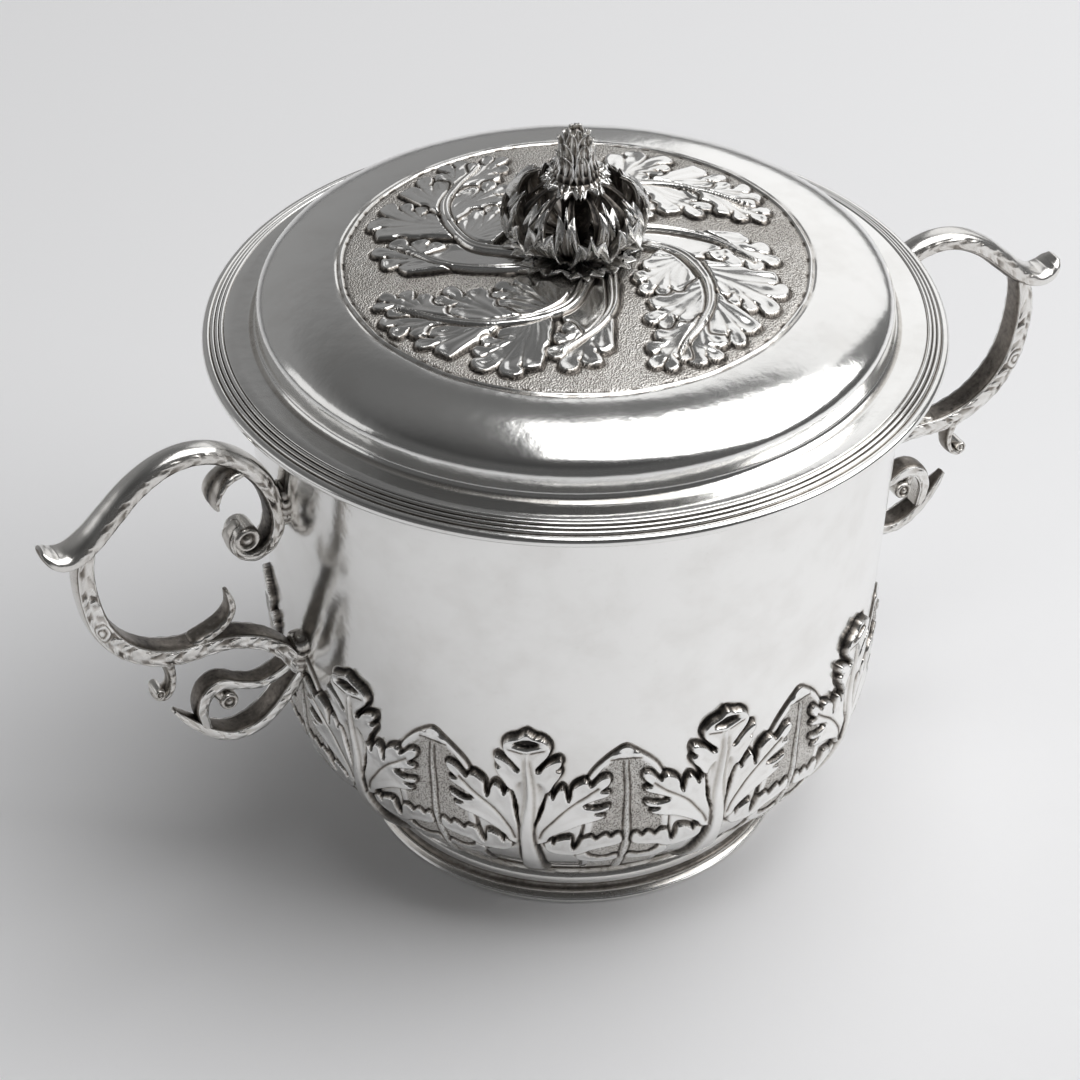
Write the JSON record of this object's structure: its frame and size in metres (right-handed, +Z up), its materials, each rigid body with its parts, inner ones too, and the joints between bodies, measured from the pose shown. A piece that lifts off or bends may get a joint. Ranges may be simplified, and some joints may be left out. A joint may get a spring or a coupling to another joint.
{
  "type": "covered two-handled silver cup",
  "caption": "Round-bottomed silver caudle cup on a foot ring, with a chased leaf frieze, scroll handles and a lift-off domed cover with an openwork bud finial.",
  "frame": {"origin": "centre of the foot ring, on the surface the cup stands on", "axes": "+Z up along the axis of the cup, +X along one handle, +Y across the handles"},
  "size_m": [0.2656, 0.17, 0.183],
  "materials": {
    "raised_silver": "polished, lightly planished silver",
    "cast_silver": "polished silver with dark tarnish in the recesses"
  },
  "bodies": {
    "cup": {"cup_body": "raised_silver", "foot_ring": "raised_silver", "right_handle": "cast_silver", "left_handle": "cast_silver"},
    "cover": {"cover_dome": "raised_silver", "cover_rim": "raised_silver", "cover_bezel": "raised_silver", "finial_rosette": "cast_silver", "finial_leaf_cup": "cast_silver", "finial_bud": "cast_silver", "finial_collar": "cast_silver", "finial_cone": "cast_silver", "finial_stem": "cast_silver", "finial_washer": "cast_silver"}
  },
  "joints": [
    {"name": "cover_lift", "type": "slide", "parent": "cup", "child": "cover", "axis": [0, 0, 1], "range_m": [0, 0.12]}
  ]
}
